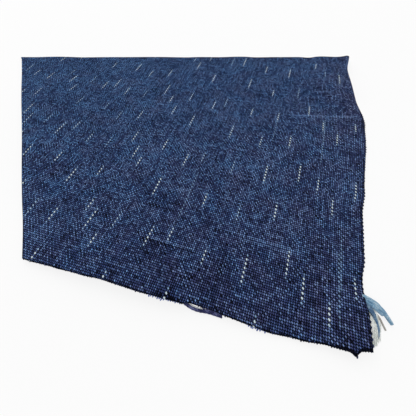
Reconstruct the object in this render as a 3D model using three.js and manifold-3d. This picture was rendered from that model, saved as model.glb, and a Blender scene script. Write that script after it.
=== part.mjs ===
// A cut length of indigo warp-ikat cotton that lies nearly flat: one plain-woven layer with the loom's own
// edge (selvedge) on its right side and raw cuts on the other three, a bundle of weft yarns that has come
// loose from the front cut, and a small tuft of yarn ends beside the near right corner.
//
// Units are millimetres and +Z is up. While the pieces are made, the near end of the selvedge is at x = 0,
// y = 0: the cloth runs to the left along -X (its weft) and away along +Y (its warp) on the surface z = 0.
// Two cloth measures name a place on it: "left", the distance from the selvedge along the weft, and "back",
// the distance along the warp. The last lines move the whole to the middle of its own box.
import * as THREE from 'three';
import Module from 'manifold-3d';

const clothWidth = 130; // from the selvedge to the far left corner, laid flat
const clothThickness = 1;
const halfThickness = clothThickness / 2;

// The front cut, drawn by hand with the scissors: how far it stands out in front of y = 0.
const frontCut = [
  { left: 0, out: 0.3 },
  { left: 1.6, out: 0.7 },
  { left: 2.2, out: 1.8 },
  { left: 3.4, out: 1.3 },
  { left: 6.4, out: 1.6 },
  { left: 11, out: 2.2 },
  { left: 17, out: 2.6 },
  { left: 25, out: 2.4 },
  { left: 26.6, out: 1.8 },
  { left: 31, out: 1.9 },
  { left: 32.8, out: 2.95 },
  { left: 37, out: 3.25 },
  { left: 42, out: 3.55 },
  { left: 49, out: 3.65 },
  { left: 54, out: 4.1 },
  { left: 60, out: 4.45 },
  { left: 68, out: 4.9 },
];

// The far cut, straight but askew, with the small wander of a cut made by hand.
const farCut = { atSelvedge: 96.8, atLeftCut: 65 }; // distances back from the selvedge's near end
const farWander = [
  { left: 0, back: -2.3 },
  { left: 6, back: -4.2 },
  { left: 16, back: 0.6 },
  { left: 22, back: 1.4 },
  { left: 30, back: 1.3 },
  { left: 40, back: 0 },
  { left: 50, back: -0.9 },
  { left: 62, back: 0.6 },
  { left: 75, back: 0.8 },
  { left: 90, back: 0.5 },
  { left: 110, back: 0 },
  { left: clothWidth, back: 0 },
];

// The left cut runs askew too, from the left end of the front cut to that of the far one, with a slight bow.
const leftCut = { frontEnd: { left: 68, back: -4.9 }, farEnd: { left: clothWidth, back: farCut.atLeftCut } };
const leftWander = [
  { back: -4.9, left: 0 },
  { back: 4, left: 0 },
  { back: 27, left: -0.8 },
  { back: 50, left: 0 },
  { back: 65, left: 0 },
];

// The selvedge's own sideways wander, to the right of x = 0. It fades out over sideFade into the cloth.
const sideFade = 32;
const selvedgeLine = [
  { back: -2, out: 0.2 },
  { back: 4, out: -0.1 },
  { back: 7.5, out: -0.35 },
  { back: 10.5, out: -0.75 },
  { back: 16, out: -0.35 },
  { back: 31, out: 0.45 },
  { back: 52, out: 1 },
  { back: 60, out: 1.1 },
  { back: 65, out: 0.6 },
  { back: 70, out: -0.6 },
  { back: 76, out: -1.8 },
  { back: 84, out: -2.6 },
  { back: 96, out: -2.3 },
];

// Soft swells that stand up off the surface: half widths before the turn (degrees), and height at the middle.
const swells = [
  { left: 0, back: -1, across: 16, along: 15, turn: 0, height: 1.3 }, // the lifted near corner
  { left: 44, back: -8, across: 36, along: 25, turn: 6, height: 2.2 }, // along the front cut
  { left: 94, back: 34, across: 17, along: 52, turn: -32, height: 1.5 }, // a slanting ridge in the left half
  { left: 48, back: 84, across: 14, along: 34, turn: 28, height: 0.9 }, // a low ridge at the back
];

// The far part of the selvedge rolls over and under, away from its crest.
const roll = { start: 60, full: 88, width: 4.24, turn: THREE.MathUtils.degToRad(172), footing: 15 };

// A bundle of weft yarns, loose along the front cut: it starts beneath the cloth's lifted edge.
const looseWeft = [
  { x: -34.6, y: -1.7, z: 0.74, radius: 0.48 },
  { x: -32.8, y: -2.35, z: 0.5, radius: 0.48 },
  { x: -31.2, y: -2.8, z: 0.5, radius: 0.5 },
  { x: -29.6, y: -2.95, z: 0.5, radius: 0.5 },
  { x: -28, y: -2.9, z: 0.48, radius: 0.48 },
  { x: -26.5, y: -2.85, z: 0.42, radius: 0.42 },
  { x: -25, y: -2.75, z: 0.34, radius: 0.3 },
];

// The tuft beside the near right corner: each row of points is one bundle of yarn ends, root first.
const threadEnds = [
  [
    { x: 0.1, y: 9.3, z: 0.52, radius: 0.46 },
    { x: 1.15, y: 8.5, z: 0.7, radius: 0.46 },
    { x: 2.2, y: 7.35, z: 0.62, radius: 0.4 },
    { x: 3.2, y: 6.3, z: 0.45, radius: 0.3 },
    { x: 4.3, y: 5.3, z: 0.28, radius: 0.24 },
  ],
  [
    { x: 0.6, y: 8.6, z: 0.5, radius: 0.4 },
    { x: 1.35, y: 6.9, z: 0.42, radius: 0.34 },
    { x: 2.15, y: 5.5, z: 0.3, radius: 0.24 },
    { x: 3.05, y: 4.15, z: 0.2, radius: 0.16 },
  ],
  [
    { x: 0.5, y: 8.3, z: 0.5, radius: 0.36 },
    { x: 1.05, y: 6.4, z: 0.42, radius: 0.34 },
    { x: 1.55, y: 4.6, z: 0.34, radius: 0.3 },
    { x: 1.85, y: 3.1, z: 0.26, radius: 0.24 },
    { x: 1.85, y: 2.1, z: 0.2, radius: 0.18 },
  ],
  [
    { x: 0.6, y: 7.6, z: 0.4, radius: 0.32 },
    { x: 0.85, y: 5.6, z: 0.45, radius: 0.43 },
    { x: 1.05, y: 3.6, z: 0.45, radius: 0.44 },
    { x: 1.15, y: 2, z: 0.34, radius: 0.32 },
    { x: 1.15, y: 1.3, z: 0.24, radius: 0.16 },
  ],
];

/** Value of a named column at a place in a table, eased between its rows so that no corner shows. */
function eased(table, placeColumn, valueColumn, place) {
  const last = table[table.length - 1];
  if (place <= table[0][placeColumn]) return table[0][valueColumn];
  if (place >= last[placeColumn]) return last[valueColumn];
  const next = table.findIndex((row) => row[placeColumn] > place);
  const [from, to] = [table[next - 1], table[next]];
  const share = THREE.MathUtils.smoothstep(place, from[placeColumn], to[placeColumn]);
  return THREE.MathUtils.lerp(from[valueColumn], to[valueColumn], share);
}

/** Where along the warp the far cut lies at a distance from the selvedge. */
function farCutBack(left) {
  const straight = THREE.MathUtils.lerp(farCut.atSelvedge, farCut.atLeftCut, left / clothWidth);
  return straight + eased(farWander, 'left', 'back', left);
}

/** How far from the selvedge the left cut lies at a distance along the warp. */
function leftCutLeft(back) {
  const { frontEnd, farEnd } = leftCut;
  const straight = THREE.MathUtils.mapLinear(back, frontEnd.back, farEnd.back, frontEnd.left, farEnd.left);
  return straight + eased(leftWander, 'back', 'left', back);
}

/** Height of the swells at a place on the cloth: each is a mound that meets the flat with no slope. */
function swellHeight(left, back) {
  let height = 0;
  for (const swell of swells) {
    const turn = THREE.MathUtils.degToRad(swell.turn);
    const [dx, dy] = [left - swell.left, back - swell.back];
    const across = (dx * Math.cos(turn) + dy * Math.sin(turn)) / swell.across;
    const along = (dy * Math.cos(turn) - dx * Math.sin(turn)) / swell.along;
    height += swell.height * Math.max(0, 1 - across * across - along * along) ** 2;
  }
  return height;
}

/** Middle of the cloth's thickness at (left, back): flat, plus swells, plus the rolled far selvedge. */
function clothMiddle(left, back) {
  const rolled = THREE.MathUtils.smoothstep(back, roll.start, roll.full);
  const bend = Math.max(roll.turn * rolled, 1e-4); // whole turn of the strip, in radians
  const radius = roll.width / bend;
  const crestHeight = radius * (1 - Math.cos(bend)); // just enough for the strip's end to touch down
  const side = eased(selvedgeLine, 'back', 'out', back);
  const fade = (distance) => Math.max(0, 1 - distance / sideFade) ** 2;
  if (left >= roll.width) {
    const foot = THREE.MathUtils.smoothstep(roll.width + roll.footing - left, 0, roll.footing);
    const height = swellHeight(left, back) + crestHeight * foot;
    return new THREE.Vector3(-left + side * fade(left), back, halfThickness + height);
  }
  const angle = (bend * (roll.width - left)) / roll.width;
  return new THREE.Vector3(
    -roll.width + side * fade(left) + radius * Math.sin(angle),
    back,
    halfThickness + swellHeight(left, back) + crestHeight - radius * (1 - Math.cos(angle)),
  );
}

/** Upward side of the cloth at (left, back), from small steps along its two measures. */
function clothNormal(left, back) {
  const step = 0.02;
  const alongLeft = clothMiddle(left + step, back).sub(clothMiddle(Math.max(left - step, 0), back));
  const alongBack = clothMiddle(left, back + step).sub(clothMiddle(left, back - step));
  return alongBack.cross(alongLeft).normalize();
}

/** Closed mesh from a list of vertices and a list of triangles. */
function solid(vertices, triangles) {
  const geometry = new THREE.BufferGeometry();
  const coordinates = vertices.flatMap((vertex) => vertex.toArray());
  geometry.setAttribute('position', new THREE.Float32BufferAttribute(coordinates, 3));
  geometry.setIndex(triangles.flat());
  geometry.computeVertexNormals();
  return geometry;
}

/**
 * The place (left, back) at a share of the way from the front cut to the far one. leftAt gives the column's
 * distance from the selvedge at each back, so the two follow each other, and a few rounds settle them.
 */
function clothPlace(leftAt, rowShare) {
  const rounds = 12;
  let [left, back] = [0, 0];
  for (let round = 0; round < rounds; round++) {
    left = leftAt(back);
    back = THREE.MathUtils.lerp(-eased(frontCut, 'left', 'out', left), farCutBack(left), rowShare);
  }
  return [left, back];
}

/** The cloth: columns run from the selvedge to the left cut, and rows from the front cut to the far one. */
function clothGeometry() {
  const rollColumns = 8;
  const bodyColumns = 27;
  const columnWidening = 0.28; // 0 spaces the body's columns evenly, more widens them towards the left cut
  const rows = 26;
  const columns = [];
  for (let c = 0; c < rollColumns; c++) columns.push(() => (roll.width * c) / rollColumns);
  for (let c = 0; c <= bodyColumns; c++) {
    const share = c / bodyColumns;
    const widening = THREE.MathUtils.lerp(share, share * share, columnWidening);
    columns.push((back) => THREE.MathUtils.lerp(roll.width, leftCutLeft(back), widening));
  }
  const [top, bottom] = [[], []];
  for (const leftAt of columns) {
    for (let r = 0; r <= rows; r++) {
      const [left, back] = clothPlace(leftAt, r / rows);
      const middle = clothMiddle(left, back);
      const half = clothNormal(left, back).multiplyScalar(halfThickness);
      top.push(middle.clone().add(half));
      bottom.push(middle.sub(half));
      for (const point of [top.at(-1), bottom.at(-1)]) point.z = Math.max(point.z, 0);
    }
  }
  const perColumn = rows + 1;
  const lastColumn = columns.length - 1;
  const at = (c, r, under) => c * perColumn + r + (under ? top.length : 0);
  const triangles = [];
  const quad = (a, b, c, d) => triangles.push([a, b, c], [a, c, d]);
  for (let c = 0; c < lastColumn; c++) {
    for (let r = 0; r < rows; r++) {
      quad(at(c, r), at(c, r + 1), at(c + 1, r + 1), at(c + 1, r));
      quad(at(c, r, true), at(c + 1, r, true), at(c + 1, r + 1, true), at(c, r + 1, true));
    }
    quad(at(c, 0), at(c + 1, 0), at(c + 1, 0, true), at(c, 0, true));
    quad(at(c, rows), at(c, rows, true), at(c + 1, rows, true), at(c + 1, rows));
  }
  for (let r = 0; r < rows; r++) {
    quad(at(0, r), at(0, r, true), at(0, r + 1, true), at(0, r + 1));
    quad(at(lastColumn, r), at(lastColumn, r + 1), at(lastColumn, r + 1, true), at(lastColumn, r, true));
  }
  return solid([...top, ...bottom], triangles);
}

/** A closed round bundle along a smooth curve through its rows, with the rows' radii. */
function bundleGeometry(rows, steps) {
  const sides = 8;
  const curve = new THREE.CatmullRomCurve3(rows.map((row) => new THREE.Vector3(row.x, row.y, row.z)));
  const vertices = [];
  for (let s = 0; s <= steps; s++) {
    const along = (s / steps) * (rows.length - 1);
    const row = Math.min(Math.floor(along), rows.length - 2);
    const radius = THREE.MathUtils.lerp(rows[row].radius, rows[row + 1].radius, along - row);
    const centre = curve.getPoint(s / steps);
    const sideways = curve.getTangent(s / steps).cross(new THREE.Vector3(0, 0, 1)).normalize();
    for (let k = 0; k < sides; k++) {
      const angle = (2 * Math.PI * (k + 0.5)) / sides;
      const offset = sideways.clone().multiplyScalar(radius * Math.cos(angle));
      vertices.push(centre.clone().add(offset).add(new THREE.Vector3(0, 0, radius * Math.sin(angle))));
    }
  }
  const triangles = [];
  for (let s = 0; s < steps; s++) {
    for (let k = 0; k < sides; k++) {
      const [a, b] = [s * sides + k, s * sides + ((k + 1) % sides)];
      triangles.push([a, b + sides, b], [a, a + sides, b + sides]);
    }
  }
  const lastRing = steps * sides;
  for (let k = 1; k < sides - 1; k++) {
    triangles.push([0, k, k + 1], [lastRing, lastRing + k + 1, lastRing + k]);
  }
  return solid(vertices, triangles);
}

/** Several closed bundles joined into one closed body. */
function joined(wasm, geometries) {
  const bodies = geometries.map((geometry) => new wasm.Manifold(new wasm.Mesh({
    numProp: 3,
    vertProperties: geometry.attributes.position.array,
    triVerts: Uint32Array.from(geometry.index.array),
  })));
  const mesh = bodies.reduce((whole, body) => whole.add(body)).getMesh();
  const geometry = new THREE.BufferGeometry();
  geometry.setAttribute('position', new THREE.BufferAttribute(Float32Array.from(mesh.vertProperties), 3));
  geometry.setIndex(new THREE.BufferAttribute(Uint32Array.from(mesh.triVerts), 1));
  geometry.computeVertexNormals();
  return geometry;
}

const wasm = await Module();
wasm.setup();

const indigoCotton = new THREE.MeshStandardMaterial({ color: 0x31405c, roughness: 0.92, metalness: 0 });
const darkWeftYarn = new THREE.MeshStandardMaterial({ color: 0x26345a, roughness: 0.95, metalness: 0 });
const paleYarnEnds = new THREE.MeshStandardMaterial({ color: 0x86a9c4, roughness: 0.95, metalness: 0 });

const group = new THREE.Group();
function add(name, geometry, material) {
  const mesh = new THREE.Mesh(geometry, material);
  mesh.name = name;
  group.add(mesh);
}

add('cloth', clothGeometry(), indigoCotton);
add('loose_weft_yarns', bundleGeometry(looseWeft, 16), darkWeftYarn);
add('corner_thread_ends', joined(wasm, threadEnds.map((rows) => bundleGeometry(rows, 10))), paleYarnEnds);

// The origin is the middle of the underside of the whole thing's box.
const box = new THREE.Box3().setFromObject(group);
group.position.set(-(box.min.x + box.max.x) / 2, -(box.min.y + box.max.y) / 2, -box.min.z);

export default group;
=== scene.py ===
"""A cut length of indigo warp-ikat cotton, lying nearly flat on a plain pale surface.

Lengths are in millimetres up to the moment a mesh is made, and are counted from the near end of the
selvedge, the loom's own edge: +X is to its right, the cloth runs to the left of it along the weft, +Y is
away along the warp and +Z is up. "left" and "back" are the same two directions measured along the cloth.
"""

import bpy
import numpy as np
from mathutils import Euler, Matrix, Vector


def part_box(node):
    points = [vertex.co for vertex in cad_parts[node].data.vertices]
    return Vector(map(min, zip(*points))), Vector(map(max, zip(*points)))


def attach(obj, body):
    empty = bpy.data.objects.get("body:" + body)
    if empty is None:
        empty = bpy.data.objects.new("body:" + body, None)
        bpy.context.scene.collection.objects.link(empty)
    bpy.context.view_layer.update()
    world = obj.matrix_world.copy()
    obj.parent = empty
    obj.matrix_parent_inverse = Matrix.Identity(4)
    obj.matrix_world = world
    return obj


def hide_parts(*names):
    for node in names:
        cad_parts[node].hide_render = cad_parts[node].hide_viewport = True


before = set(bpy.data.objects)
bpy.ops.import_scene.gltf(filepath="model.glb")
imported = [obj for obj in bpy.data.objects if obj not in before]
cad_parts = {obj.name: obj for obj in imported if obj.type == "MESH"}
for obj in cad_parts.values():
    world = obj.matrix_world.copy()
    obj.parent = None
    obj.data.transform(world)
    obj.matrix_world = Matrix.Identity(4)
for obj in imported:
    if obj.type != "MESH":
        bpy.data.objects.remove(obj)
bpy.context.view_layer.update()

# ---------------------------------------------------------------------------------------------- camera
# The view: close over the front cut, leaning down and a little to the left, so that the near right corner
# is low in the picture and the far left of the cloth runs out of it.
MM = 0.001
CLOTH_WIDTH = 130.0  # from the selvedge to the far left corner, laid flat
SELVEDGE_LENGTH = 94.5
cloth_low, cloth_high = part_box("cloth")
CORNER = np.array([cloth_low.x / MM + CLOTH_WIDTH, cloth_high.y / MM - SELVEDGE_LENGTH, 0.0])
VIEW_PLACE, VIEW_TURN = (-24.92, -6.68, 46.25), (30.61, 1.64, 17.90)  # from CORNER, and in degrees

camera = bpy.data.objects.new("camera", bpy.data.cameras.new("camera"))
camera.data.lens = 19.46
camera.data.sensor_width = 36
camera.data.clip_start = 0.001
camera.location = (CORNER + VIEW_PLACE) * MM
camera.rotation_euler = Euler(np.radians(VIEW_TURN))
bpy.context.scene.collection.objects.link(camera)
bpy.context.scene.camera = camera

# ----------------------------------------------------------------------------------------------- cloth
# One layer of plain-woven cotton about half a millimetre thick. It was cut by hand on three sides, and it
# lies on the surface with a few soft swells and with the far part of its selvedge rolled over and under.
CLOTH_THICKNESS = 0.5
WARP_YARNS = 302
WARP_PITCH = CLOTH_WIDTH / WARP_YARNS
WEFT_PITCH = 0.473
CLOTH_ROWS = 124  # of the mesh, from the near cut to the far one

# How far the front cut stands out in front of the selvedge's near end: (left, out).
FRONT_CUT = np.array([
    (0, 0.3), (2.0, 0.75), (2.35, 1.85), (3.3, 1.35), (6.4, 1.45), (11, 2.05), (17, 2.6), (25, 2.4),
    (26.6, 2.25), (31, 2.35), (32.8, 2.95), (37, 3.25), (42, 3.55), (49, 3.65), (54, 4.1), (60, 4.45),
    (68, 4.9),
])
# The far cut runs askew from FAR_AT_SELVEDGE to FAR_AT_LEFT, with the wander of a hand cut: (left, back).
FAR_AT_SELVEDGE, FAR_AT_LEFT = 96.8, 65.0
FAR_WANDER = np.array([
    (0, -2.3), (6, -4.2), (16, 0.6), (22, 1.4), (30, 1.3), (40, 0), (50, -0.9), (62, 0.6), (75, 0.8),
    (90, 0.5), (110, 0), (130, 0),
])
# The left cut runs askew too, between two places (left, back), with a slight bow: (back, left).
LEFT_CUT_FRONT, LEFT_CUT_FAR = (68.0, -4.9), (130.0, 65.0)
LEFT_WANDER = np.array([(-4.9, 0), (4, 0), (27, -0.8), (50, 0), (65, 0)])
CORNER_LENGTH = 0.5  # least length of a warp yarn, at the far left corner
# The selvedge's own sideways wander, (back, out to the right), fades out over SIDE_FADE, and a nick where
# the weft drew its edge in fades out over NICK_FADE: (back, half length, depth).
SELVEDGE_LINE = np.array([
    (-2, 0.2), (4, 0), (28, -0.3), (34, 0.3), (52, 1), (60, 0.8), (70, -1), (84, -2.8), (96, -2),
])
NICK_BACK, NICK_HALF, NICK_DEPTH, NICK_FADE = 10.7, 6.0, 0.65, 3.0
SIDE_FADE = 32.0
# Soft swells off the surface: (left, back, half width across, half width along, turn, height).
SWELLS = [
    (0, -1, 16, 15, 0, 1.3),  # the lifted near corner
    (44, -8, 36, 25, 6, 2.2),  # along the front cut
    (94, 34, 17, 52, -32, 1.5),  # a slanting ridge in the left half
    (48, 84, 14, 34, 28, 0.9),  # a low ridge at the back
]
ROLL_START, ROLL_FULL = 60.0, 88.0  # where the selvedge starts to roll, and where it is fully rolled
ROLL_WIDTH, ROLL_TURN, ROLL_FOOTING = 4.24, np.radians(172), 15.0


def smooth(value, start, end):
    """0 before start, 1 after end, and the cubic 3s^2 - 2s^3 of the share s between them."""
    share = np.clip((value - start) / (end - start), 0, 1)
    return share * share * (3 - 2 * share)


def eased(table, place):
    """The second column of a two-column table at a place in its first, eased from each row to the next."""
    row = np.clip(np.searchsorted(table[:, 0], place, side="right") - 1, 0, len(table) - 2)
    before, after = table[row], table[row + 1]
    share = smooth(place, before[..., 0], after[..., 0])
    return before[..., 1] + (after[..., 1] - before[..., 1]) * share


def swell_height(left, back):
    """Sum of mounds: height x (1 - r^2)^2, where r is the distance from the middle in half widths."""
    height = np.zeros(np.broadcast(left, back).shape)
    for middle_left, middle_back, half_across, half_along, turn, top in SWELLS:
        cos, sin = np.cos(np.radians(turn)), np.sin(np.radians(turn))
        dx, dy = left - middle_left, back - middle_back
        across, along = (dx * cos + dy * sin) / half_across, (dy * cos - dx * sin) / half_along
        height += top * np.maximum(0, 1 - across**2 - along**2) ** 2
    return height


def cloth_middle(left, back):
    """The middle of the cloth's thickness. The flat part is at z = half a thickness plus the swells. The
    strip beside the selvedge, ROLL_WIDTH wide, turns through an arc whose whole turn grows from 0 to
    ROLL_TURN along the back, and its crest stands just high enough for the strip's end to touch down. The
    selvedge's wander and its nick shift the cloth sideways, less and less further in."""
    bend = np.maximum(ROLL_TURN * smooth(back, ROLL_START, ROLL_FULL), 1e-4)
    radius = ROLL_WIDTH / bend
    crest = radius * (1 - np.cos(bend))
    side = eased(SELVEDGE_LINE, back) * np.maximum(0, 1 - left / SIDE_FADE) ** 2
    nick = NICK_DEPTH * np.maximum(0, 1 - ((back - NICK_BACK) / NICK_HALF) ** 2) ** 2
    side = side - nick * np.maximum(0, 1 - left / NICK_FADE) ** 2
    angle = bend * np.maximum(ROLL_WIDTH - left, 0) / ROLL_WIDTH
    foot = smooth(ROLL_WIDTH + ROLL_FOOTING - left, 0, ROLL_FOOTING)
    x = side + radius * np.sin(angle) - np.maximum(left, ROLL_WIDTH)
    z = CLOTH_THICKNESS / 2 + swell_height(left, back) + crest * foot - radius * (1 - np.cos(angle))
    return np.stack([x, back + 0 * left, z], axis=-1)


def cloth_surface(left, back, share):
    """Points on the cloth: share 1 is its upper face, 0 its middle and -1 its underside, along the normal
    that small steps along the two measures give."""
    step = 0.02
    along_left = cloth_middle(left + step, back) - cloth_middle(left - step, back)
    along_back = cloth_middle(left, back + step) - cloth_middle(left, back - step)
    normal = np.cross(along_back, along_left)
    normal /= np.linalg.norm(normal, axis=-1, keepdims=True)
    return cloth_middle(left, back) + normal * (share * CLOTH_THICKNESS / 2)


def far_cut(left):
    """Where along the warp the far cut lies: a straight line plus its wander."""
    straight = FAR_AT_SELVEDGE + (FAR_AT_LEFT - FAR_AT_SELVEDGE) * left / CLOTH_WIDTH
    return straight + eased(FAR_WANDER, left)


def left_cut(back):
    """How far from the selvedge the left cut lies: a straight line plus its wander."""
    (left, front), (far_left, far) = LEFT_CUT_FRONT, LEFT_CUT_FAR
    return left + (far_left - left) * (back - front) / (far - front) + eased(LEFT_WANDER, back)


def near_cut(left):
    """Where along the warp the cloth begins: at the front cut, and beyond its left end at the left cut."""
    backs = np.linspace(LEFT_CUT_FRONT[1], LEFT_CUT_FAR[1], 400)
    on_left_cut = np.interp(left, left_cut(backs), backs)
    near = np.where(left < LEFT_CUT_FRONT[0], -eased(FRONT_CUT, left), on_left_cut)
    return np.minimum(near, far_cut(left) - CORNER_LENGTH)


def new_piece(name, points, faces, smooth_faces=True):
    """Mesh object from points in millimetres and a list of faces. The corners of a face run anticlockwise
    seen from outside."""
    mesh = bpy.data.meshes.new(name)
    mesh.from_pydata(((points + CORNER) * MM).tolist(), [], faces)
    mesh.polygons.foreach_set("use_smooth", np.full(len(mesh.polygons), smooth_faces))
    mesh.update()
    made = bpy.data.objects.new(name, mesh)
    bpy.context.scene.collection.objects.link(made)
    return made


columns, rows = np.meshgrid(np.arange(WARP_YARNS + 1), np.arange(CLOTH_ROWS + 1), indexing="ij")
cloth_left = columns * WARP_PITCH
cloth_back = near_cut(cloth_left) + (far_cut(cloth_left) - near_cut(cloth_left)) * rows / CLOTH_ROWS
upper = cloth_surface(cloth_left, cloth_back, 1)
under = cloth_surface(cloth_left, cloth_back, -1)
corner_of = columns * (CLOTH_ROWS + 1) + rows
face_corners = corner_of.size  # grid points of one face of the cloth; the underside's follow the upper's


def quads(a, b, c, d):
    """Faces from four arrays of corners of the same shape."""
    return np.stack([a, b, c, d], axis=-1).reshape(-1, 4)


grid = quads(corner_of[:-1, :-1], corner_of[:-1, 1:], corner_of[1:, 1:], corner_of[1:, :-1])
near, far = corner_of[:, 0], corner_of[:, -1]
right, cut = corner_of[0], corner_of[-1]
faces = np.concatenate([
    grid,
    grid[:, ::-1] + face_corners,
    quads(near[:-1], near[1:], near[1:] + face_corners, near[:-1] + face_corners),
    quads(far[1:], far[:-1], far[:-1] + face_corners, far[1:] + face_corners),
    quads(right[1:], right[:-1], right[:-1] + face_corners, right[1:] + face_corners),
    quads(cut[:-1], cut[1:], cut[1:] + face_corners, cut[:-1] + face_corners),
])
cloth = new_piece("ikat_cloth", np.concatenate([upper, under]).reshape(-1, 3), faces.tolist())

weave_map = cloth.data.uv_layers.new(name="Weave")
weave_uv = np.stack([cloth_left / WARP_PITCH, cloth_back / WEFT_PITCH], axis=-1).reshape(-1, 2)
weave_map.data.foreach_set("uv", weave_uv[faces.ravel() % face_corners].ravel())

# A second map, for baking: the upper face's grid fills most of the square, with the underside's squeezed
# into a band below it and the rims in narrow bands at the bottom. A row of the list gives a group of faces'
# number, the shares that run across and up its band, and the band's corner, width and height.
column_share = columns.ravel()[faces % face_corners] / WARP_YARNS
row_share = rows.ravel()[faces % face_corners] / CLOTH_ROWS
is_under = faces // face_corners
bake_bands = [
    (len(grid), column_share, row_share, (0.004, 0.272), (0.992, 0.724)),
    (len(grid), column_share, row_share, (0.004, 0.052), (0.992, 0.212)),
    (WARP_YARNS, column_share, is_under, (0.004, 0.004), (0.992, 0.01)),
    (WARP_YARNS, column_share, is_under, (0.004, 0.02), (0.992, 0.01)),
    (CLOTH_ROWS, row_share, is_under, (0.004, 0.036), (0.488, 0.01)),
    (CLOTH_ROWS, row_share, is_under, (0.508, 0.036), (0.488, 0.01)),
]
bake_uv = []
done = 0
for number, across, up, low, size in bake_bands:
    group = slice(done, done + number)
    bake_uv.append(np.stack([across[group], up[group]], axis=-1) * size + low)
    done += number
bake_map = cloth.data.uv_layers.new(name="OFBake")
bake_map.data.foreach_set("uv", np.concatenate(bake_uv).ravel())

# The ikat: rows of warp yarns were tied off at intervals before dyeing, which left short white dashes. The
# ties follow a repeat of twelve rows. TIE_STARTS is the pick of one tie in each, and the row's others follow
# every TIE_PERIOD picks. The rows lie TIE_STEP yarns apart, and past the first repeat CLOSE_STEP. They were
# tied by hand, so the ties stray by a yarn or so and a few picks, and differ in length. Some were loose,
# more of them to the left, and there the dye crept in and the dash is dim.
TIE_STARTS = np.array([20, 5, 15, 25, 45, 15, 40, 15, 45, 20, 15, 45])
FIRST_TIE_YARN, TIE_STEP, CLOSE_STEP, TIE_PERIOD = 5, 9.8, 7.5, 52
TIE_ROWS, TIES_IN_A_ROW = 36, 6
TIE_LENGTH, LENGTH_UNEVEN, YARN_STRAY, PICK_STRAY = 9.5, 3.0, 0.6, 1.5
LOOSE_AT_SELVEDGE, LOOSE_AT_LEFT = 0.1, 0.6  # share of the ties that were loose
LOOSE_WHITENESS = (0.5, 0.9)  # range of whiteness under a loose tie; under a tight one it is 1
DASH_FADE = 2.0  # picks before and after each end of a dash over which the dye had crept in
# Yarns that took the dye a little less for a longer stretch: (yarn, middle pick, length, whiteness).
PALE_YARNS = [
    (10, 30, 25, 0.27), (11, 20, 30, 0.27), (24, 105, 40, 0.3), (55, 105, 20, 0.25), (93, 45, 30, 0.25),
]
tying = np.random.default_rng(8)
tie_rows = np.arange(TIE_ROWS)
repeat = len(TIE_STARTS)
row_yarns = (FIRST_TIE_YARN + TIE_STEP * np.minimum(tie_rows, repeat)
             + CLOSE_STEP * np.maximum(tie_rows - repeat, 0))
row_picks = TIE_STARTS[tie_rows % repeat][:, None] + TIE_PERIOD * (np.arange(TIES_IN_A_ROW) - 1)
tie_yarns = np.round(row_yarns[:, None] + tying.normal(0, YARN_STRAY, row_picks.shape))
tie_middles = row_picks + tying.normal(0, PICK_STRAY, row_picks.shape)
tie_lengths = TIE_LENGTH + tying.uniform(-LENGTH_UNEVEN, LENGTH_UNEVEN, row_picks.shape)
loose_share = LOOSE_AT_SELVEDGE + (LOOSE_AT_LEFT - LOOSE_AT_SELVEDGE) * row_yarns[:, None] / WARP_YARNS
loose = tying.random(row_picks.shape) < loose_share
tie_whiteness = np.where(loose, tying.uniform(*LOOSE_WHITENESS, row_picks.shape), 1.0)
ties = np.stack([tie_yarns, tie_middles, tie_lengths, tie_whiteness], axis=-1).reshape(-1, 4)


def white_share(yarn, pick):
    """How white a warp yarn is, from 0 to 1: a dash's whiteness along it, easing to 0 over DASH_FADE either
    way of its ends."""
    white = np.zeros(pick.shape)
    for number, middle, length, whiteness in [*PALE_YARNS, *ties.tolist()]:
        here = yarn == number
        inside = length / 2 - np.abs(pick[here] - middle)
        white[here] = np.maximum(white[here], whiteness * smooth(inside, -DASH_FADE, DASH_FADE))
    return white


yarn_of_face = np.concatenate([
    np.tile(columns[:-1, :-1].ravel(), 2),
    np.tile(np.arange(WARP_YARNS), 2),
    np.zeros(CLOTH_ROWS, int),
    np.full(CLOTH_ROWS, WARP_YARNS - 1),
])
pick_of_corner = cloth_back.ravel()[faces % face_corners] / WEFT_PITCH
tied_off = cloth.data.attributes.new("undyed", "FLOAT", "CORNER")
tied_off.data.foreach_set("value", white_share(yarn_of_face, pick_of_corner).ravel())

# Along a cut the yarn ends fall away into shade: 1 on the grid's first and last rows, and 0 one row inside.
row_of_corner = rows.ravel()[faces % face_corners]
at_cut = (row_of_corner == 0) | (row_of_corner == CLOTH_ROWS)
cut_edge = cloth.data.attributes.new("cut_edge", "FLOAT", "CORNER")
cut_edge.data.foreach_set("value", at_cut.astype(float).ravel())


class Socket:
    """A shader socket in a sum: +, -, * and / with numbers and other sockets add their Math nodes."""

    def __init__(self, shader, link):
        self.shader, self.link = shader, link

    def output(self, name):
        """Another output of the same node."""
        return Socket(self.shader, self.link.node.outputs[name])

    def __add__(self, other):
        return self.shader.maths("ADD", self, other)

    def __sub__(self, other):
        return self.shader.maths("SUBTRACT", self, other)

    def __rsub__(self, other):
        return self.shader.maths("SUBTRACT", other, self)

    def __mul__(self, other):
        return self.shader.maths("MULTIPLY", self, other)

    def __truediv__(self, other):
        return self.shader.maths("DIVIDE", self, other)

    __radd__ = __add__
    __rmul__ = __mul__


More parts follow.
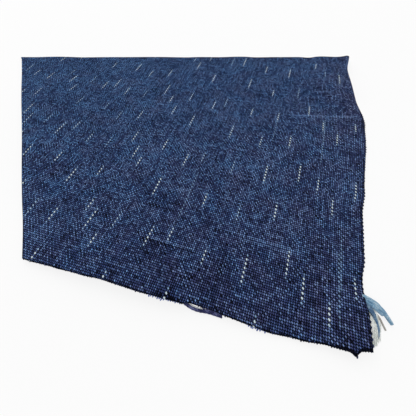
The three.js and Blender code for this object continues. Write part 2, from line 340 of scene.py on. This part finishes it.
class Shader:
    """A material that is being made, with its Principled shader in place."""

    def __init__(self, name):
        self.material = bpy.data.materials.new(name)
        self.material.use_nodes = True
        self.tree = self.material.node_tree
        self.surface = self.tree.nodes["Principled BSDF"]

    def node(self, kind, settings=None, inputs=None):
        """Adds a node of a type: first its settings (stops are a ramp's places and colours), then the value
        or link of each of its sockets. Returns its first output."""
        made = self.tree.nodes.new("ShaderNode" + kind)
        for name, value in (settings or {}).items():
            if name == "stops":
                while len(made.color_ramp.elements) < len(value):
                    made.color_ramp.elements.new(1)
                for element, (place, colour) in zip(made.color_ramp.elements, value):
                    element.position, element.color = place, colour
            else:
                setattr(made, name, value)
        for name, value in (inputs or {}).items():
            self.put(made, name, value)
        return Socket(self, made.outputs[0])

    def put(self, made, name, value):
        """Links a socket, or sets its value."""
        if isinstance(value, Socket):
            self.tree.links.new(value.link, made.inputs[name])
        else:
            made.inputs[name].default_value = value

    def finish(self, values):
        """Puts values or links into the surface's own sockets."""
        for name, value in values.items():
            self.put(self.surface, name, value)

    def maths(self, operation, *values):
        """A Math node over numbers and sockets."""
        return self.node("Math", {"operation": operation}, dict(enumerate(values)))

    def mix(self, share, start, end, way="MIX"):
        """A colour between two, or one put on the other in another way, such as MULTIPLY."""
        settings = {"data_type": "RGBA", "blend_type": way}
        return self.node("Mix", settings, {0: share, 6: start, 7: end}).output("Result")

    def attribute(self, name):
        """A number that is stored on the mesh under a name."""
        return self.node("Attribute", {"attribute_name": name}).output("Fac")

    def noise(self, x, y, scale=1.0, detail=2.0, roughness=0.5):
        """Smooth noise from 0 to 1 over two sockets."""
        place = self.node("CombineXYZ", None, {"X": x, "Y": y})
        return self.node("TexNoise", {"noise_dimensions": "2D"},
                         {"Vector": place, "Scale": scale, "Detail": detail, "Roughness": roughness})

    def random(self, x, y=0.0):
        """A value from 0 to 1 that jumps from each pair of whole numbers to the next."""
        place = self.node("CombineXYZ", None, {"X": x, "Y": y})
        return self.node("TexWhiteNoise", {"noise_dimensions": "2D"}, {"Vector": place})

    def between(self, value, low, high, start=0.0, end=1.0):
        """value taken from the range low to high onto start to end, eased and held at both ends."""
        return self.node("MapRange", {"interpolation_type": "SMOOTHSTEP"},
                         {"Value": value, "From Min": low, "From Max": high, "To Min": start, "To Max": end})


def dye(red, green, blue):
    """A colour as it shows, each part from 0 to 255, in the linear values that a shader takes."""
    shown = np.array([red, green, blue]) / 255
    return (*np.where(shown > 0.04045, ((shown + 0.055) / 1.055) ** 2.4, shown / 12.92), 1.0)


weave = Shader("indigo_cotton")
split = weave.node("SeparateXYZ", None, {"Vector": weave.node("UVMap", {"uv_map": "Weave"})})
warp_place, weft_place = split.output("X"), split.output("Y")
warp_number, weft_number = weave.maths("FLOOR", warp_place), weave.maths("FLOOR", weft_place)
across_warp = weave.maths("FRACT", warp_place) - 0.5
across_weft = weave.maths("FRACT", weft_place) - 0.5

# Height of the weave, in yarn pitches. Each yarn is round across and waves up over one yarn and down
# under the next: warp over weft where their numbers add up to an even one. The yarns are spun by hand, so
# each wanders in its place and swells and thins, and its twist makes the top of each wave lie aslant.
WAVE, YARN_ROUND = 0.36, 0.5
YARN_EDGE = 0.06  # difference in height over which one yarn gives way to the other
YARN_HALF, SLUBBINESS, WANDER, SLANT = 0.44, 0.45, 0.35, 0.4
warp_up = 1 - 2 * weave.maths("FLOORED_MODULO", warp_number + weft_number, 2.0)


def yarn_height(across, along, up, wander, thickness):
    """The wave of the yarn's middle, a cosine along it, plus the parabola of its rounded section, whose
    middle shifts with the yarn's wander and along the slant of its twist."""
    wave = weave.maths("COSINE", along * np.pi) * up * WAVE
    flat = (across - along * SLANT + (wander - 0.5) * WANDER) / ((thickness - 0.5) * SLUBBINESS + YARN_HALF)
    return wave + (1 - flat * flat) * YARN_ROUND


YARN_APART = 7.3


def along_yarn(number, place, seed):
    """Three noises that run along each yarn on their own, from 0 to 1: its wander, thickness and tone. They
    are slow along the yarn, and YARN_APART keeps the next yarn's clear of them."""
    varied = weave.noise(number * YARN_APART + seed, place * 0.09, detail=4.0, roughness=0.62).output("Color")
    parts = weave.node("SeparateXYZ", None, {"Vector": varied})
    return parts.output("X"), parts.output("Y"), parts.output("Z")


warp_wander, warp_thickness, warp_tone = along_yarn(warp_number, weft_place, 3.0)
weft_wander, weft_thickness, weft_tone = along_yarn(weft_number, warp_place, 60.0)
warp_height = yarn_height(across_warp, across_weft, warp_up, warp_wander, warp_thickness)
weft_height = yarn_height(across_weft, across_warp, 0 - warp_up, weft_wander, weft_thickness)
top_height = weave.maths("MAXIMUM", warp_height, weft_height)
warp_shows = weave.between(warp_height - weft_height, -YARN_EDGE, YARN_EDGE)

# Tone of the dye, from 0, deep, to 1, pale. It differs from yarn to yarn and along each, from crossing to
# crossing, in small mottles, and in soft patches a centimetre or so across. The warp took the dye a little
# less than the weft.
YARN_SHARE, CROSSING_SHARE, MOTTLE_SHARE, PATCH_SHARE = 0.8, 0.3, 0.12, 0.12
WARP_PALER, ALL_DEEPER = 0.09, 0.18
yarn_tone = weave.mix(warp_shows, weft_tone, warp_tone)
crossing = weave.random(warp_number, weft_number)
mottle = weave.noise(warp_place * 0.3 + 50.0, weft_place * 0.35, detail=2.0, roughness=0.6)
patch = weave.noise(warp_place * 0.045 + 7.0, weft_place * 0.06)
tone = yarn_tone * YARN_SHARE + crossing * CROSSING_SHARE + mottle * MOTTLE_SHARE
tone = tone + patch * PATCH_SHARE + warp_shows * WARP_PALER - ALL_DEEPER

# Larger places of paler or deeper tone: one from the dye, two of painted shade and one painted highlight:
# (yarn, pick, half widths in yarns and in picks, change).
DYE_AND_PAINTED_LIGHT_PATCHES = [
    # Painted shade over the whole front.
    (45, -5, 120, 55, -0.048),  # the deeper front
    # Painted shade to the loose weft's left, where the edge curls down; to its right a paler dye patch.
    (83, -6, 8, 3, -0.2), (43, -5, 5, 3, 0.16),  # beside the loose weft, to its left and right
    # Painted highlight along the crest of the roll, where it catches the light.
    (6, 194, 5, 26, 0.12),  # along the crest of the rolled selvedge
]
for yarn, pick, half_yarns, half_picks, change in DYE_AND_PAINTED_LIGHT_PATCHES:
    yarns_off, picks_off = (warp_place - yarn) / half_yarns, (weft_place - pick) / half_picks
    inside = weave.maths("MAXIMUM", 1 - yarns_off * yarns_off - picks_off * picks_off, 0.0)
    tone = tone + inside * change

# Fine fibres run along the yarn that is on top, aslant with its twist.
along_top = weft_place * warp_shows + warp_place * (1 - warp_shows)
across_top = warp_place * warp_shows + weft_place * (1 - warp_shows)
fibres = weave.noise(across_top * 8.0 + along_top * 3.0, along_top * 1.1, detail=2.0)

# Single picks of the weft that came out paler or deeper than the rest for a way, as far as the warp over them
# lets them show. A row gives the warp yarn and pick where the streak starts, those where it ends, half its
# width in picks, and its change of tone, which grows with the thickness of the pick.
WEFT_STREAKS = [
    (77, 16, 104, 16, 0.5, 0.3), (77, 15, 104, 15, 0.5, -0.25), (31, 30, 62, 30, 0.5, 0.3),
    (31, 28, 62, 28, 0.5, 0.3), (95, 37, 107, 37, 0.6, -0.3), (95, 33, 112, 33, 0.6, -0.3),
    (5, 131, 43, 123, 0.9, 0.45), (24, 150, 34, 150, 0.6, 0.3),
]
STREAK_FADE = 3  # yarns before and after each end over which a streak fades
THIN_PICK = 0.3  # share of the change where the pick is thinnest
COVERED = 0.7  # share of a streak that the warp hides where it lies on top
on_weft = 1 - warp_shows * COVERED
for start, start_pick, end, end_pick, half_width, change in WEFT_STREAKS:
    streak_pick = start_pick + (warp_place - start) * ((end_pick - start_pick) / (end - start))
    on_pick = weave.maths("COMPARE", weft_place, streak_pick, half_width)
    begun = weave.between(warp_place, start - STREAK_FADE, start + STREAK_FADE)
    not_over = weave.between(warp_place, end + STREAK_FADE, end - STREAK_FADE)
    tone = tone + on_pick * begun * not_over * on_weft * (weft_thickness + THIN_PICK) * change

# Painted shade: the cut edges are darker, where the last picks turn down into shade, most of all and over a
# wider strip near the lifted corner. The outermost yarn of the selvedge is darker too.
CUT_DARKER, CORNER_DARKER, SELVEDGE_DARKER = 0.3, 0.35, 0.15
CORNER_WIDER = 0.3
near_corner = weave.between(warp_place, 20.0, 8.0)
cut_shade = weave.between(weave.attribute("cut_edge") + near_corner * CORNER_WIDER, 0.45, 0.95)
tone = tone - cut_shade * (near_corner * CORNER_DARKER + CUT_DARKER)
tone = tone - weave.between(warp_place, 2.2, 0.6) * SELVEDGE_DARKER

# The blue isn't one hue. It drifts in soft places between a purple cast and a bluer one. The bluer one also
# gains to the left and to the back, a painted sheen where the cloth is seen at a low angle, but not along the
# far selvedge.
PURPLE_CAST, BLUE_CAST = (1.24, 0.97, 1.1, 1), (0.78, 1.08, 1.38, 1)
CAST_CONTRAST, CAST_START = 1.6, -0.46
BLUER_PER_YARN, BLUER_PER_PICK, FAR_SELVEDGE_PURPLE = 0.0016, 0.002, 0.4
indigo = weave.node("ValToRGB", {"stops": [
    (0.2, dye(20, 18, 34)), (0.5, dye(75, 89, 132)), (0.8, dye(148, 184, 226)),
]}, {"Fac": tone})
cast_share = weave.noise(warp_place * 0.08, weft_place * 0.09 + 31.0, detail=4.0, roughness=0.7)
far_selvedge = weave.between(warp_place, 36.0, 4.0) * weave.between(weft_place, 60.0, 150.0)
# Painted sheen: the cast turns bluer with the yarn and the pick.
cast_drift = warp_place * BLUER_PER_YARN + weft_place * BLUER_PER_PICK - far_selvedge * FAR_SELVEDGE_PURPLE
cast = weave.mix(cast_share * CAST_CONTRAST + cast_drift + CAST_START, PURPLE_CAST, BLUE_CAST)
blue_yarn = weave.mix(1.0, indigo, cast, "MULTIPLY")


def with_painted_weave_shade(colour, low, high, fibre_share):
    """A colour with painted shade: none of its light at the height low, down between the yarns, and all of
    it at the height high, on their crowns, with the fibres breaking up the edge between."""
    share = weave.between(top_height + fibres * fibre_share, low, high)
    grey = weave.node("CombineColor", None, {"Red": share, "Green": share, "Blue": share})
    return weave.mix(1.0, colour, grey, "MULTIPLY")


# Painted shade: each colour of the weave goes dark down between the yarns and stays bright on the crowns.
dark_yarn = with_painted_weave_shade(blue_yarn, 0.52, 1.02, 0.3)
pale_yarn = with_painted_weave_shade(dye(154, 190, 232), 0.3, 0.72, 0.2)
white_yarn = with_painted_weave_shade(dye(226, 244, 255), 0.34, 0.76, 0.3)
undyed = weave.attribute("undyed") * warp_shows
paler = weave.mix(weave.between(undyed, 0.0, 0.5), dark_yarn, pale_yarn)
weave.finish({
    "Base Color": weave.mix(weave.between(undyed, 0.4, 1.0), paler, white_yarn),
    "Normal": weave.node("Bump", None, {
        "Strength": 1.0, "Distance": 0.3 * MM, "Height": top_height + fibres * 0.25}),
    "Roughness": 0.9,
    "Specular IOR Level": 0.03,
    "Sheen Weight": 0.025,
    "Sheen Roughness": 0.5,
    "Sheen Tint": dye(120, 190, 255),
})
cloth.data.materials.append(weave.material)


def finish_piece(piece, slot, *nodes):
    """Puts a piece on the part's one body and hides the solids that it stands for. slot is not used."""
    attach(piece, "root")
    if nodes:
        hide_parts(*nodes)


finish_piece(cloth, "indigo_cotton", "cloth")

# ------------------------------------------------------------------------------------------- cut ends
# Where the cloth was cut, each yarn ends in a short frayed stub just past the last crossing. They differ in
# length, and each leans its own way. Along the selvedge the weft turns back round the last warp yarn
# instead, once every two picks.
chance = np.random.default_rng(5)
STUB_SIDES, STUB_RINGS = 6, 5
STUB_RADIUS = 0.17
STUB_ROOT = 0.35  # how far inside the cut a stub starts
STUB_LEAN, STUB_DROOP = 0.45, 0.4  # the most that a stub leans to a side and down, as a share of its length
STUB_TAPER = np.array([0.9, 1.0, 1.0, 0.85, 0.5])
# Where the front cut is frayed more, on both sides of the loose weft: (left, half length).
FRAYED_PLACES = np.array([(36.0, 3.0), (18.6, 1.8)])
FRAY_LENGTH = 0.34  # the most that a stub is longer there


def tubes(name, paths, radii, sides, square_to=(0, 0, 1)):
    """Round yarns in one mesh. paths is (yarn, point, xyz) and radii is (yarn, point). A ring of points
    stands square to the path at each of its points, with its first axis also square to square_to, a
    direction that no path takes, and a flat cap closes each end."""
    ahead = np.gradient(paths, axis=1)
    ahead /= np.linalg.norm(ahead, axis=-1, keepdims=True)
    side = np.cross(ahead, square_to)
    side /= np.linalg.norm(side, axis=-1, keepdims=True)
    other = np.cross(side, ahead)
    turn = 2 * np.pi * np.arange(sides) / sides
    ring = np.cos(turn)[:, None] * side[:, :, None] + np.sin(turn)[:, None] * other[:, :, None]
    points = paths[:, :, None] + ring * radii[:, :, None, None]
    yarns, rings = radii.shape
    place = np.arange(yarns * rings * sides).reshape(yarns, rings, sides)
    after = np.roll(place, -1, axis=2)
    walls = quads(place[:, :-1], place[:, 1:], after[:, 1:], after[:, :-1]).tolist()
    caps = place[:, 0].tolist() + place[:, -1, ::-1].tolist()
    return new_piece(name, points.reshape(-1, 3), walls + caps)


def stub_paths(left, back, out_left, out_back, lengths):
    """Yarn middles that leave the cloth's middle at (left, back) along (out_left, out_back): straight at
    first, then leaning to a side and down by the square of the share of the way."""
    share = np.linspace(0, 1, STUB_RINGS)
    reach = (STUB_ROOT + lengths)[:, None] * share - STUB_ROOT
    lean = chance.uniform(-STUB_LEAN, STUB_LEAN, len(lengths))[:, None] * lengths[:, None] * share**2
    paths = cloth_middle(left[:, None] + out_left * reach + out_back * lean,
                         back[:, None] + out_back * reach + out_left * lean)
    paths[..., 2] -= chance.uniform(0, STUB_DROOP, len(lengths))[:, None] * lengths[:, None] * share**2
    paths[..., 2] = np.maximum(paths[..., 2], STUB_RADIUS)
    return paths


def stub_lengths(number, least, spread, extra, power):
    """How far stubs stand out of the cut: from least to least + spread, and a few by up to extra more, the
    fewer the higher the power."""
    return least + spread * chance.random(number) + extra * chance.random(number) ** power


warp_middles = (np.arange(WARP_YARNS) + 0.5) * WARP_PITCH
front_lengths = stub_lengths(WARP_YARNS, 0.03, 0.08, 0.14, 6)
frayed = (np.abs(warp_middles[:, None] - FRAYED_PLACES[:, 0]) < FRAYED_PLACES[:, 1]).any(axis=1)
front_lengths[frayed] += FRAY_LENGTH * chance.random(frayed.sum())
front_stubs = stub_paths(warp_middles, near_cut(warp_middles), 0, -1, front_lengths)
far_lengths = stub_lengths(WARP_YARNS, 0.04, 0.1, 0.2, 6)
far_stubs = stub_paths(warp_middles, far_cut(warp_middles), 0, 1, far_lengths)
left_picks = np.arange(np.ceil(LEFT_CUT_FRONT[1] / WEFT_PITCH), LEFT_CUT_FAR[1] / WEFT_PITCH - 1)
pick_middles = (left_picks + 0.5) * WEFT_PITCH
left_lengths = stub_lengths(len(pick_middles), 0.03, 0.08, 0.12, 5)
left_stubs = stub_paths(left_cut(pick_middles), pick_middles, 1, 0, left_lengths)
stub_middles = np.concatenate([front_stubs[~frayed], far_stubs, left_stubs])


def stub_piece(name, paths):
    """One mesh of tapered stubs."""
    radii = np.tile(STUB_RADIUS * STUB_TAPER, (len(paths), 1))
    return tubes(name, paths, radii, STUB_SIDES, square_to=(0.01, 0.02, 1))


cut_ends = stub_piece("cut_yarn_ends", stub_middles)
frayed_ends = stub_piece("frayed_yarn_ends", front_stubs[frayed])

# The weft's turns: half rings round the outermost warp yarn. Their middles start TURN_ROOT inside the
# selvedge and reach out from there by about TURN_REACH, unevenly, but with neighbours much alike.
TURN_RADIUS, TURN_ROOT, TURN_REACH, TURN_UNEVEN, TURN_POINTS = 0.16, 0.25, 0.34, 0.055, 9
turn_backs = np.arange(1.5, far_cut(0) / WEFT_PITCH - 1, 2) * WEFT_PITCH
swing = np.linspace(-np.pi / 2, np.pi / 2, TURN_POINTS)
turn_back = turn_backs[:, None] + WEFT_PITCH / 2 * np.sin(swing)
turns_out = TURN_REACH + np.convolve(chance.normal(0, TURN_UNEVEN, len(turn_backs)), (0.5, 1, 0.5), "same")
turn_paths = cloth_middle(TURN_ROOT - turns_out[:, None] * np.cos(swing), turn_back)
selvedge_turns = tubes("weft_turns", turn_paths, np.full(turn_paths.shape[:2], TURN_RADIUS), STUB_SIDES,
                       square_to=(0.02, 0.01, 1))


def yarn_finish(name, deep, middle, light, across=9.0):
    """Loose cotton yarn: fibres, across to the millimetre, and soft patches in three tones, with a fine
    bump."""
    shader = Shader(name)
    place = shader.node("TexCoord").output("Object")
    fibres = shader.node("TexNoise", None, {"Vector": place, "Scale": across / MM, "Detail": 2.0})
    clouds = shader.node("TexNoise", None, {"Vector": place, "Scale": 1.1 / MM, "Detail": 1.0})
    tone = fibres * 0.55 + clouds * 0.45
    stops = [(0.3, deep), (0.5, middle), (0.7, light)]
    shader.finish({
        "Base Color": shader.node("ValToRGB", {"stops": stops}, {"Fac": tone}),
        "Normal": shader.node("Bump", None, {"Strength": 0.8, "Distance": 0.08 * MM, "Height": fibres}),
        "Roughness": 0.9,
        "Specular IOR Level": 0.1,
    })
    return shader.material


# Cut ends and weft turns: deep indigo yarn, painted darker still with the shade along the cut edges.
cut_yarn_painted_shade_finish = yarn_finish("cut_yarn", dye(14, 14, 28), dye(34, 36, 62), dye(84, 96, 136))
cut_ends.data.materials.append(cut_yarn_painted_shade_finish)
selvedge_turns.data.materials.append(cut_yarn_painted_shade_finish)
frayed_ends.data.materials.append(
    yarn_finish("frayed_yarn", dye(44, 54, 104), dye(84, 102, 164), dye(160, 176, 222)))
finish_piece(cut_ends, "indigo_cotton")
finish_piece(frayed_ends, "indigo_cotton")
finish_piece(selvedge_turns, "indigo_cotton")

# ---------------------------------------------------------------------------------- loose weft yarns
# The last picks before the front cut have come out of the weave between 25 and 34 mm from the selvedge.
# They bulge out in front of the edge, still wavy from the weave, and end free. Each is a bundle of fibre
# strands laid in a slow twist. A row of a path is (x, y, z, radius) in the corner's frame.
LOOSE_WEFT = [
    [(-34.2, -1.5, 1.35, 0.14), (-33.2, -2.25, 0.95, 0.19), (-32.4, -2.6, 0.72, 0.22),
     (-31.3, -2.9, 0.6, 0.23), (-30.1, -3.06, 0.55, 0.23), (-28.9, -2.99, 0.52, 0.23),
     (-27.8, -2.8, 0.5, 0.23), (-26.4, -2.74, 0.45, 0.22), (-24.85, -2.76, 0.36, 0.18)],
    [(-33.6, -1.5, 1.5, 0.14), (-32.7, -2.15, 1.2, 0.19), (-31.6, -2.6, 0.95, 0.21),
     (-30.4, -2.86, 0.86, 0.22), (-29.2, -2.82, 0.82, 0.22), (-28.0, -2.62, 0.8, 0.22),
     (-26.8, -2.5, 0.75, 0.22), (-25.8, -2.5, 0.62, 0.2), (-25.1, -2.56, 0.5, 0.16)],
    [(-28.9, -2.3, 1.1, 0.1), (-28.2, -2.44, 0.95, 0.17), (-27.3, -2.36, 0.9, 0.2),
     (-26.4, -2.32, 0.82, 0.2), (-25.5, -2.36, 0.7, 0.19), (-24.9, -2.42, 0.55, 0.14)],
]
WHITE_WEFT = [
    [(-31.5, -2.3, 1.3, 0.05), (-31.0, -2.5, 1.15, 0.09), (-30.2, -2.62, 1.05, 0.11), (-29.4, -2.6, 1.0, 0.1),
     (-28.7, -2.5, 1.0, 0.08), (-28.1, -2.36, 1.05, 0.05)],
]
STRANDS, STRAND_SIDES = 7, 6
# How uneven strands are: the turn at which one starts, in radians, and the ranges of its distance from the
# yarn's middle and of its thickness.
STRAND_STRAY, OUT_RANGE, THICK_RANGE = 0.3, (0.75, 1.1), (0.85, 1.15)
FLOOR_GAP = 0.02  # clear space under whatever lies on the surface


def along_curve(rows, steps):
    """Values of table rows at even steps, by the Catmull-Rom curve through them."""
    rows = np.array(rows)
    padded = np.concatenate([[2 * rows[0] - rows[1]], rows, [2 * rows[-1] - rows[-2]]])
    place = np.linspace(0, len(rows) - 1 - 1e-9, steps)
    whole = place.astype(int)
    part = (place - whole)[:, None]
    a, b, c, d = (padded[whole + k] for k in range(4))
    return 0.5 * (2 * b + (c - a) * part + (2 * a - 5 * b + 4 * c - d) * part**2
                  + (3 * b - a - 3 * c + d) * part**3)


def strands(rows, steps=60, count=STRANDS, twist=1.6, crimp=0.0, spread=0.62, fineness=0.46):
    """Fibre strands of one yarn: count middles that wind round its path once in twist millimetres, at a
    share (spread) of its radius, each as thick as another share of it (fineness), on a path that may wave
    by crimp to each side with the weave's own pitch. Returns the strands' paths and radii."""
    line = along_curve(rows, steps)
    path, radius = line[:, :3].copy(), line[:, 3]
    length = np.concatenate([[0], np.cumsum(np.linalg.norm(np.diff(path, axis=0), axis=1))])
    ahead = np.gradient(path, axis=0)
    ahead /= np.linalg.norm(ahead, axis=1, keepdims=True)
    side = np.cross(ahead, (0, 0, 1))
    side /= np.linalg.norm(side, axis=1, keepdims=True)
    other = np.cross(side, ahead)
    path += other * (crimp * np.sin(np.pi * length / WARP_PITCH))[:, None]
    start = np.arange(count) * 2 * np.pi / count + chance.uniform(-STRAND_STRAY, STRAND_STRAY, count)
    angle = start[:, None] + 2 * np.pi * length / twist
    out = spread * radius * chance.uniform(*OUT_RANGE, (count, 1))
    paths = path + (np.cos(angle) * out)[..., None] * side + (np.sin(angle) * out)[..., None] * other
    thick = np.tile(radius * fineness, (count, 1)) * chance.uniform(*THICK_RANGE, (count, 1))
    paths[..., 2] = np.maximum(paths[..., 2], thick + FLOOR_GAP)
    return paths, thick


def yarn_piece(name, table, **settings):
    """One joined mesh of all the strands of the yarns in a table."""
    paths, radii = zip(*(strands(rows, **settings) for rows in table))
    return tubes(name, np.concatenate(paths), np.concatenate(radii), STRAND_SIDES, square_to=(0.02, 0.01, 1))


loose_weft = yarn_piece("loose_weft_yarns", LOOSE_WEFT, crimp=0.07)
loose_weft.data.materials.append(
    yarn_finish("dark_weft", dye(24, 24, 52), dye(62, 64, 108), dye(140, 146, 190)))
white_weft = yarn_piece("white_weft_stretch", WHITE_WEFT, steps=30, crimp=0.04)
white_weft.data.materials.append(
    yarn_finish("white_yarn", dye(188, 192, 196), dye(226, 230, 230), dye(246, 248, 246)))
finish_piece(loose_weft, "dark_weft_yarn", "loose_weft_yarns")
finish_piece(white_weft, "dark_weft_yarn")

# ----------------------------------------------------------------------------------- corner thread ends
# A tuft of soft ends comes out from under the lifted selvedge beside the near corner: two light blue
# bundles, a darker blue one, a thin grey yarn, and undyed cotton fluff that fills the space beside the edge.
LIGHT_BLUE_ENDS = [
    [(-0.9, 8.9, 0.5, 0.5), (0.2, 8.35, 0.85, 0.6), (1.1, 7.9, 1.05, 0.56), (2.0, 7.35, 1.0, 0.5),
     (2.9, 6.65, 0.8, 0.44), (3.6, 5.95, 0.58, 0.38), (4.2, 5.35, 0.42, 0.32)],
    [(-0.8, 8.1, 0.5, 0.45), (0.2, 7.8, 0.75, 0.5), (1.1, 7.3, 0.85, 0.48), (1.9, 6.8, 0.78, 0.4),
     (2.6, 6.4, 0.65, 0.3)],
]
BLUE_END = [
    [(-0.9, 8.0, 0.4, 0.5), (-0.1, 7.2, 0.65, 0.6), (0.45, 6.6, 0.78, 0.56), (1.0, 5.85, 0.75, 0.44),
     (1.5, 5.0, 0.62, 0.3), (1.82, 4.1, 0.5, 0.24), (1.93, 3.1, 0.36, 0.21), (1.86, 2.35, 0.25, 0.16)],
]
GREY_END = [
    [(1.5, 6.6, 0.35, 0.12), (1.9, 6.1, 0.42, 0.15), (2.3, 5.5, 0.42, 0.16), (2.72, 4.8, 0.34, 0.16),
     (3.17, 4.07, 0.22, 0.15)],
]
soft = {"steps": 48, "count": 16, "twist": 9.0, "fineness": 0.27}
light_blue = yarn_piece("light_blue_ends", LIGHT_BLUE_ENDS, **soft)
light_blue.data.materials.append(
    yarn_finish("light_blue_yarn", dye(92, 132, 164), dye(132, 168, 194), dye(196, 214, 222), across=5.0))
blue = yarn_piece("blue_end", BLUE_END, **soft)
blue.data.materials.append(
    yarn_finish("blue_yarn", dye(58, 84, 120), dye(94, 124, 154), dye(156, 178, 194), across=5.0))
grey = yarn_piece("grey_end", GREY_END, steps=40, twist=1.4)
grey.data.materials.append(
    yarn_finish("grey_yarn", dye(136, 132, 126), dye(168, 164, 158), dye(200, 198, 192)))

# The fluff: fine bent fibres from the tuft's root, FLUFF_ROOTS, down to its rim, FLUFF_REACH, both (x, y).
FLUFF_FIBRES, FLUFF_STEPS, FIBRE_SIDES = 950, 12, 4
FIBRE_RADIUS, FIBRE_TIP = 0.038, 0.4  # the tip's radius is a share of the fibre's
FIBRE_REACH = (0.65, 1.04)  # how far towards the rim a fibre goes, as a share of the way
BEND_ASIDE, BEND_RIGHT = 0.3, 0.12  # how far a fibre's middle is thrown aside, and how far all lean right
FLUFF_LAYERS, TIP_SINKS = (0.1, 0.75), 0.55  # heights of the roots, and the share that a tip is lower
FIBRE_WAVE = 0.1  # how far a fibre waves up and down
FLUFF_ROOTS = np.array([(-0.3, 7.6), (0.5, 7.3), (1.3, 7.0)])
FLUFF_REACH = np.array([
    (0.35, 3.2), (0.5, 1.9), (0.65, 0.7), (0.9, 0.6), (1.25, 0.9), (1.75, 1.4), (2.2, 2.1), (2.3, 3.1),
    (2.4, 4.0), (2.3, 4.8),
])


def along_chain(places, share):
    """Points at shares 0 to 1 along a chain of places, straight from one to the next."""
    row = share * (len(places) - 1)
    steps = np.arange(len(places))
    return np.stack([np.interp(row, steps, places[:, 0]), np.interp(row, steps, places[:, 1])], axis=-1)


def fluff_paths():
    """Fibres as quadratic curves from the root line, through a middle place that is thrown aside at random,
    to a place on the rim pulled back by a random share. They sink towards their tips, and wave up and down
    by the sine of the share of the way, each from its own start."""
    start = along_chain(FLUFF_ROOTS, chance.random(FLUFF_FIBRES))
    rim = along_chain(FLUFF_REACH, chance.random(FLUFF_FIBRES))
    end = start + (rim - start) * chance.uniform(*FIBRE_REACH, (FLUFF_FIBRES, 1))
    middle = (start + end) / 2 + chance.normal(0, BEND_ASIDE, (FLUFF_FIBRES, 2)) + [BEND_RIGHT, 0]
    share = np.linspace(0, 1, FLUFF_STEPS)[:, None]
    flat = ((1 - share)**2 * start[:, None] + 2 * share * (1 - share) * middle[:, None]
            + share**2 * end[:, None])
    layer = chance.uniform(*FLUFF_LAYERS, (FLUFF_FIBRES, 1))
    rise = layer * (1 - share[:, 0] * TIP_SINKS) + FIBRE_WAVE * np.sin(share[:, 0] * 7 + layer * 40)
    return np.concatenate([flat, np.maximum(rise, FIBRE_RADIUS + FLOOR_GAP)[..., None]], axis=-1)


fluff_middles = fluff_paths()
fluff_radii = np.full(fluff_middles.shape[:2], FIBRE_RADIUS)
fluff_radii[:, -1] *= FIBRE_TIP
fluff = tubes("undyed_fluff", fluff_middles, fluff_radii, FIBRE_SIDES, square_to=(0.02, 0.01, 1))
fluff.data.materials.append(
    yarn_finish("undyed_cotton", dye(232, 238, 232), dye(246, 250, 246), dye(255, 255, 255), across=4.0))
finish_piece(light_blue, "pale_yarn_ends", "corner_thread_ends")
finish_piece(blue, "pale_yarn_ends")
finish_piece(grey, "pale_yarn_ends")
finish_piece(fluff, "pale_yarn_ends")

# ----------------------------------------------------------------------------------------- floor, light
# A plain white surface and a soft room: an even light from all round and a wide window behind to the left.
# The floor looks white by its own colour in view, and still takes a faint shadow.
FLOOR_HALF = 900.0  # half the surface's side
floor_points = np.array([(-1, -1, 0), (1, -1, 0), (1, 1, 0), (-1, 1, 0)]) * FLOOR_HALF
floor = new_piece("floor", floor_points, [(0, 1, 2, 3)], smooth_faces=False)


def seen_directly(shader):
    """1 where a ray comes from the camera, a mirror or glass, and 0 where it lights a surface."""
    path = shader.node("LightPath")
    seen = shader.maths("MAXIMUM", path.output("Is Camera Ray"), path.output("Is Glossy Ray"))
    return shader.maths("MAXIMUM", seen, path.output("Is Transmission Ray"))


FLOOR_GLOW = 0.8  # share of the floor's look that is plain white; the rest is lit, and shows the shadow
pale = Shader("pale_floor")
pale.finish({"Base Color": (0.93, 0.93, 0.93, 1), "Roughness": 1.0})
glow = pale.node("Emission", None, {"Color": (1, 1, 1, 1), "Strength": 1.0})
lit_floor = Socket(pale, pale.surface.outputs["BSDF"])
shown_floor = pale.node("MixShader", None, {0: seen_directly(pale) * FLOOR_GLOW, 1: lit_floor, 2: glow})
pale.tree.links.new(shown_floor.link, pale.tree.nodes["Material Output"].inputs["Surface"])
floor.data.materials.append(pale.material)


class Room(Shader):
    """The world's shader, made in the same way as a material."""

    def __init__(self, name):
        self.world = bpy.data.worlds.new(name)
        self.world.use_nodes = True
        self.tree = self.world.node_tree
        self.surface = self.tree.nodes["Background"]


ROOM_LIGHT = 0.8  # strength of the even light; seen directly, the room is plain white
room = Room("soft_room")
room.finish({"Color": (1, 1, 1, 1), "Strength": seen_directly(room) * (1 - ROOM_LIGHT) + ROOM_LIGHT})
bpy.context.scene.world = room.world
bpy.context.scene.view_settings.view_transform = "Standard"

window = bpy.data.objects.new("window", bpy.data.lights.new("window", "AREA"))
window.data.energy = 0.9
window.data.size = 0.5
window.location = (-0.25, 0.35, 0.45)
window.rotation_euler = Euler(np.radians([-42, 0, 35]))
bpy.context.scene.collection.objects.link(window)
